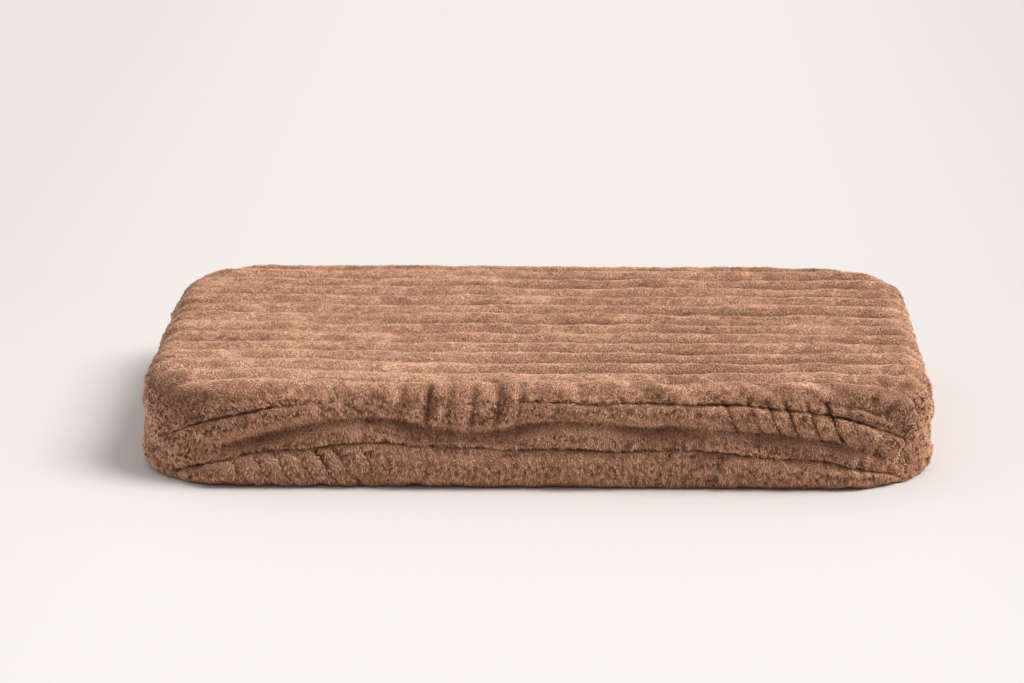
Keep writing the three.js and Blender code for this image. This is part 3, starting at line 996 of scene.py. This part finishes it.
def coil_row(node):
    """A row of nylon coil: one flattened spring along the edge of its tape."""
    low, high = (np.array(corner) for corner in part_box(node))
    turns = round((high[0] - low[0] - 2 * COIL_WIRE) / COIL_PITCH)
    angle = np.linspace(0, 2 * math.pi * turns, turns * COIL_STEPS + 1)
    middle, reach = (low + high) / 2, (high - low) / 2 - COIL_WIRE
    x = low[0] + COIL_WIRE + COIL_PITCH * angle / (2 * math.pi)
    out = np.stack([np.zeros_like(angle), np.cos(angle), np.sin(angle)], -1)
    centre = np.stack([x, middle[1] + reach[1] * out[:, 1], middle[2] + reach[2] * out[:, 2]], -1)
    around = (np.arange(WIRE_SIDES) * 2 * math.pi / WIRE_SIDES)[:, None]
    ring = np.cos(around) * out[:, None] + np.sin(around) * np.array([1, 0, 0])
    points = centre[:, None] + COIL_WIRE * ring
    faces = tube_faces(len(points), WIRE_SIDES, flipped=True)
    row = mesh_object(node + "_coil", points.reshape(-1, 3), faces)
    close_ends(row.data, WIRE_SIDES)
    return row


def moulded(node, edge):
    """A copy of a hard piece with its edges rounded."""
    piece = put(node + "_moulded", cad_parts[node].data.copy())
    piece.data.materials.clear()
    with opened(piece.data) as built:
        bmesh.ops.remove_doubles(built, verts=built.verts, dist=0.001 * MM)
        bmesh.ops.dissolve_limit(built, angle_limit=math.radians(1), verts=built.verts, edges=built.edges)
        for face in built.faces:
            face.smooth = True
    rounding = piece.modifiers.new("rounded_edges", "BEVEL")
    rounding.width = edge
    rounding.segments = 3
    rounding.limit_method = "ANGLE"
    rounding.angle_limit = math.radians(35)
    rounding.harden_normals = True
    return piece


def zip_pieces():
    tape_look, coil_look, metal_look = zip_tape(), nylon(), painted_metal()
    for node in ("zip_tape_lower", "zip_tape_upper"):
        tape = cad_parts[node]
        tape.data.materials.clear()
        tape.data.materials.append(tape_look)
    for node in ("zip_teeth_lower", "zip_teeth_upper"):
        dress(coil_row(node), "bed", coil_look, node)
    for node in ("zip_top_stop_upper", "zip_top_stop_lower", "zip_bottom_stop"):
        dress(moulded(node, 0.3 * MM), "bed", metal_look, node)
    dress(moulded("zip_slider", 0.22 * MM), "slider", metal_look, "zip_slider")
    dress(moulded("zip_pull", 0.25 * MM), "pull_tab", metal_look, "zip_pull")


# ------ materials
def set_inputs(tree, node, inputs):
    """Gives a node its inputs, each a value or another node's output."""
    for name, value in inputs.items():
        if isinstance(value, bpy.types.NodeSocket):
            tree.links.new(value, node.inputs[name])
        else:
            node.inputs[name].default_value = value


def add_node(tree, kind, inputs=None, **settings):
    node = tree.nodes.new("ShaderNode" + kind)
    for name, value in settings.items():
        setattr(node, name, value)
    set_inputs(tree, node, inputs or {})
    return node


def new_material(name, roughness):
    material = bpy.data.materials.new(name)
    material.use_nodes = True
    tree = material.node_tree
    shader = tree.nodes["Principled BSDF"]
    set_inputs(tree, shader, {"Roughness": roughness})
    return material, tree, shader


def linear(colour, factor=1.0):
    """Linear values of a colour given as 0 to 255 sRGB, times a factor."""
    share = np.array(colour) / 255
    curve = np.where(share <= 0.04045, share / 12.92, ((share + 0.055) / 1.055) ** 2.4)
    return (*np.clip(curve * factor, 0, 1), 1.0)


def ramp(tree, source, stops):
    """A value's colours, through stops that each have a place and a colour."""
    node = add_node(tree, "ValToRGB", {0: source})
    elements = node.color_ramp.elements
    while len(elements) < len(stops):
        elements.new(0.5)
    for element, (place, colour) in zip(elements, stops, strict=True):
        element.position = place
        element.color = (*colour[:3], 1)
    return node.outputs[0]


def object_place(tree, stretch=(1, 1, 1)):
    place = add_node(tree, "TexCoord").outputs["Object"]
    return add_node(tree, "Mapping", {"Vector": place, "Scale": stretch}).outputs["Vector"]


def noise(tree, scale, detail=3.0, roughness=0.55, stretch=(1, 1, 1)):
    inputs = {"Scale": scale, "Detail": detail, "Roughness": roughness}
    return add_node(tree, "TexNoise", {**inputs, "Vector": object_place(tree, stretch)}).outputs["Fac"]


def mix(tree, share, first, second, blend="MIX"):
    inputs = {0: share, 6: first, 7: second}  # the sockets of a mix of two colours
    return add_node(tree, "Mix", inputs, data_type="RGBA", blend_type=blend).outputs[2]


def times(tree, first, second):
    return mix(tree, 1.0, first, second, "MULTIPLY")


def attribute(tree, name):
    return add_node(tree, "Attribute", attribute_name=name).outputs["Fac"]


def share_between(tree, source, start, end):
    """How far a value has come from start to end, 0 to 1."""
    inputs = {"Value": source, "From Min": start, "From Max": end}
    return add_node(tree, "MapRange", inputs).outputs["Result"]


def raise_surface(tree, shader, source, strength, distance):
    node = add_node(tree, "Bump", {"Height": source, "Strength": strength, "Distance": distance})
    set_inputs(tree, shader, {"Normal": node.outputs["Normal"]})


def threads(tree, scale, axis):
    """Bands of threads across one axis of a woven cloth."""
    inputs = {"Scale": scale, "Distortion": 0.6, "Detail": 1.0, "Vector": object_place(tree)}
    return add_node(tree, "TexWave", inputs, bands_direction=axis).outputs["Fac"]


WHITE = (1, 1, 1)
PLUSH = (232, 181, 150)
LIT_TIPS = (250, 202, 172)
SHADED_ROOTS = (162, 104, 70)
DARKEST_LOCK, LIGHTEST_LOCK = (0.52, 0.4, 0.32), (1.4, 1.47, 1.54)  # factors on the fibre's colour
PAINTED_CREASE_SHADE = (0.22, 0.125, 0.07)  # factor on the pile's colour for painted shade at the bottom of a crease


def plush_pile():
    """Brown fibre, with painted shade at the root and in creases and painted light at the tip and on
    steep cloth, a little different from lock to lock.
    """
    material, tree, shader = new_material("plush_pile", 0.8)
    # Darker roots and lighter tips: painted shade deep in the pile and painted light on the tips.
    fibre = ramp(tree, attribute(tree, "tip"), [
        (0.0, linear(SHADED_ROOTS)), (0.5, linear(PLUSH, 0.95)), (1.0, linear(LIT_TIPS)),
    ])
    # The lock's shade holds random tone and also painted light on steep cloth and near the top's front.
    lock = ramp(tree, attribute(tree, "shade"), [
        (0.0, DARKEST_LOCK), (0.5, (0.99, 0.975, 0.96)), (1.0, LIGHTEST_LOCK),
    ])
    patch = ramp(tree, noise(tree, 16), [(0.3, (0.9, 0.895, 0.89)), (0.7, (1.07, 1.07, 1.06))])
    # Painted shade in creases, seams and folds.
    shade_in_creases = ramp(tree, attribute(tree, "painted_shade"), [(0.0, WHITE), (1.0, PAINTED_CREASE_SHADE)])
    set_inputs(tree, shader, {
        "Base Color": times(tree, times(tree, times(tree, fibre, lock), patch), shade_in_creases),
        "Specular IOR Level": 0.15,
        "Sheen Weight": 0.18,
        "Sheen Roughness": 0.5,
        "Sheen Tint": linear(PLUSH, 1.2),
    })
    return material


def plush_ground():
    """The knitted ground cloth between the locks of pile, painted dark as shade under them and
    darker still as painted shade in creases.
    """
    material, tree, shader = new_material("plush_ground", 0.95)
    # The ground is painted dark as shade between the locks.
    knit_in_painted_shade = ramp(tree, noise(tree, 420, 2), [(0.35, linear(PLUSH, 0.3)), (0.7, linear(PLUSH, 0.6))])
    # Painted shade in creases.
    shade_in_creases = ramp(tree, attribute(tree, "painted_shade"), [(0.0, WHITE), (1.0, (0.3, 0.26, 0.24))])
    set_inputs(tree, shader, {"Base Color": times(tree, knit_in_painted_shade, shade_in_creases)})
    raise_surface(tree, shader, noise(tree, 700, 2), 0.6, 0.5 * MM)
    return material


def woven(name, colour, scale):
    """Plain woven cloth: two crossing sets of threads with a little slub."""
    material, tree, shader = new_material(name, 0.85)
    weave = mix(tree, 0.5, threads(tree, scale, "X"), threads(tree, scale, "Z"))
    cloth = ramp(tree, weave, [(0.25, linear(colour, 0.72)), (0.7, linear(colour, 1.04))])
    slub = ramp(tree, noise(tree, 60, stretch=(1, 1, 8)), [(0.3, (0.93, 0.93, 0.92)), (0.7, WHITE)])
    set_inputs(tree, shader, {"Base Color": times(tree, cloth, slub)})
    raise_surface(tree, shader, weave, 0.5, 0.2 * MM)
    return material


def foam(name, colour, cells):
    """Open-cell foam: small pits of mixed size, with a faint tone from batch to batch."""
    material, tree, shader = new_material(name, 0.95)
    inputs = {"Scale": cells, "Vector": object_place(tree)}
    cell = add_node(tree, "TexVoronoi", inputs).outputs["Distance"]
    pits = ramp(tree, cell, [(0.15, linear(colour, 0.7)), (0.55, linear(colour))])
    tone = ramp(tree, noise(tree, 12), [(0.3, (0.94, 0.93, 0.9)), (0.7, WHITE)])
    set_inputs(tree, shader, {"Base Color": times(tree, pits, tone)})
    raise_surface(tree, shader, cell, 0.7, 0.5 * MM)
    return material


ZIP_BROWN = (92, 66, 52)


def zip_tape():
    """Herringbone-like woven tape: fine threads across it and a coarser set along it."""
    material, tree, shader = new_material("zip_tape", 0.8)
    weave = mix(tree, 0.6, threads(tree, 2600, "X"), threads(tree, 1800, "DIAGONAL"))
    cloth = ramp(tree, weave, [(0.2, linear(ZIP_BROWN, 0.6)), (0.75, linear(ZIP_BROWN, 1.25))])
    set_inputs(tree, shader, {"Base Color": cloth})
    raise_surface(tree, shader, weave, 0.6, 0.2 * MM)
    return material


def nylon():
    """Dyed nylon wire, slightly glossy, with scuffed tops."""
    material, tree, shader = new_material("zip_coil", 0.38)
    scuffs = noise(tree, 900, 3)
    dye = ramp(tree, scuffs, [(0.3, linear(ZIP_BROWN, 0.95)), (0.75, linear(ZIP_BROWN, 1.5))])
    set_inputs(tree, shader, {"Base Color": dye})
    raise_surface(tree, shader, scuffs, 0.15, 0.05 * MM)
    return material


def painted_metal():
    """Cast zinc with a thin bronze-brown paint that is worn in small spots."""
    material, tree, shader = new_material("zip_metal", 0.36)
    wear = noise(tree, 500, 5, 0.65)
    paint = ramp(tree, wear, [
        (0.3, linear((104, 84, 68))), (0.62, linear((122, 100, 80))), (0.72, linear((168, 150, 128))),
    ])
    gloss = ramp(tree, wear, [(0.3, (0.3, 0.3, 0.3)), (0.7, (0.5, 0.5, 0.5))])
    set_inputs(tree, shader, {"Base Color": paint, "Roughness": gloss, "Metallic": 0.8})
    raise_surface(tree, shader, noise(tree, 1200, 2), 0.1, 0.04 * MM)
    return material


# ------ stage
FLOOR_SIZE = 9.0
# The floor's colour darkens behind the bed and to each side as painted falloff of light.
FLOOR_FRONT, FLOOR_BEHIND = (237, 235, 234), (231, 227, 225)
FLOOR_TURNS = (-0.5, 0.6)  # Y from which and to which the front's colour turns into the back's
FLOOR_ASIDE = (0.93, 0.925, 0.92)  # factor on its colour far to each side, a painted falloff of light
FLOOR_FADES = (0.42, 0.8)  # distance to each side from which and to which it darkens
SUN_FROM = (0.95, -0.12, 1.15)
SUN_ENERGY, SUN_ANGLE, SUN_COLOUR = 2.5, math.radians(36), (1.0, 0.985, 0.965)
SKY_FRONT, SKY_BEHIND = linear((255, 236, 218), 0.36), linear((247, 250, 255), 0.76)
SKY_BRIGHT_SIDE = (-0.5, 0.87, 0)
CAMERA_TARGET = Vector((-0.0262, -0.28, 0.1655))
CAMERA_AZIMUTH, CAMERA_ELEVATION, CAMERA_DISTANCE = math.radians(1.3), math.radians(14.9), 3.983


def stage():
    """A pale floor, with painted falloff of light: a little darker behind the bed and far to each side.
    """
    mesh = bpy.data.meshes.new("floor")
    corners = [(-1, -1), (1, -1), (1, 1), (-1, 1)]
    mesh.from_pydata([(x * FLOOR_SIZE, y * FLOOR_SIZE, 0) for x, y in corners], [], [(0, 1, 2, 3)])
    floor = put("floor", mesh)
    floor.location.z = CAD_LOW.z
    material, tree, shader = new_material("floor", 0.9)
    place = add_node(tree, "TexCoord").outputs["Object"]
    split = add_node(tree, "SeparateXYZ", {"Vector": place})
    aside = add_node(tree, "Math", {0: split.outputs["X"]}, operation="ABSOLUTE").outputs[0]
    # Painted falloff of light behind the bed and to each side.
    behind = share_between(tree, split.outputs["Y"], *FLOOR_TURNS)
    paint = mix(tree, behind, linear(FLOOR_FRONT), linear(FLOOR_BEHIND))
    paint = mix(tree, share_between(tree, aside, *FLOOR_FADES), paint, (*FLOOR_ASIDE, 1), "MULTIPLY")
    set_inputs(tree, shader, {"Base Color": paint})
    floor.data.materials.append(material)


def lights():
    """Soft sky from all round, and a broad key from the right and above."""
    key = bpy.data.lights.new("key", "SUN")
    key.energy = SUN_ENERGY
    key.angle = SUN_ANGLE
    key.color = SUN_COLOUR
    sun = put("key", key)
    sun.rotation_euler = (-Vector(SUN_FROM)).to_track_quat("-Z", "Y").to_euler()
    bpy.context.scene.world = sky()


def sky():
    """A plain pale studio, dimmer and warmer in front and to the right of the bed than behind it."""
    world = bpy.data.worlds.new("studio")
    world.use_nodes = True
    tree = world.node_tree
    direction = add_node(tree, "TexCoord").outputs["Generated"]
    facing = add_node(tree, "VectorMath", {0: direction, 1: SKY_BRIGHT_SIDE}, operation="DOT_PRODUCT")
    behind = share_between(tree, facing.outputs["Value"], -1, 1)
    set_inputs(tree, tree.nodes["Background"], {"Color": mix(tree, behind, SKY_FRONT, SKY_BEHIND)})
    return world


def camera():
    """A long lens, almost straight in front of the bed and a little above it."""
    data = bpy.data.cameras.new("camera")
    data.lens = 126.6
    data.sensor_width = 36
    data.clip_end = 50
    view = put("camera", data)
    back = Vector((0, -math.cos(CAMERA_ELEVATION), math.sin(CAMERA_ELEVATION)))
    back.rotate(Matrix.Rotation(CAMERA_AZIMUTH, 3, "Z"))
    view.location = CAMERA_TARGET + back * CAMERA_DISTANCE
    view.rotation_euler = (-back).to_track_quat("-Z", "Y").to_euler()
    bpy.context.scene.camera = view


# ------ assembly
def dress(piece, body, material, node=None):
    """Gives a piece its material and the body that it rides on, and hides the node that it stands for."""
    piece.data.materials.append(material)
    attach(piece, body)
    if node:
        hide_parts(node)


NAPS = {"top": (0.25, -1, 0), "bottom": (0.1, 0.1, -1)}  # the way that a piece's pile leans
SIDE_NAP = (0.15, 0.15, -1)


def cover_pieces():
    pile_look, ground_look = plush_pile(), plush_ground()
    for seed, (name, grid) in enumerate(shaped_cover().items()):
        cloth = cloth_object(f"{name}_cloth", grid)
        dress(cloth, "bed", ground_look, COVER[name])
        pile = pile_objects(f"{name}_pile", grid, NAPS.get(name, SIDE_NAP), 100 + 10 * seed)
        for piece in pile:
            dress(piece, "bed", pile_look)
        width, length, area = grid.flat_size()


def main():
    camera()
    stage()
    lights()
    foam_pieces()
    liner_pieces()
    cover_pieces()
    zip_pieces()
    bpy.context.scene.view_settings.view_transform = "Standard"


main()
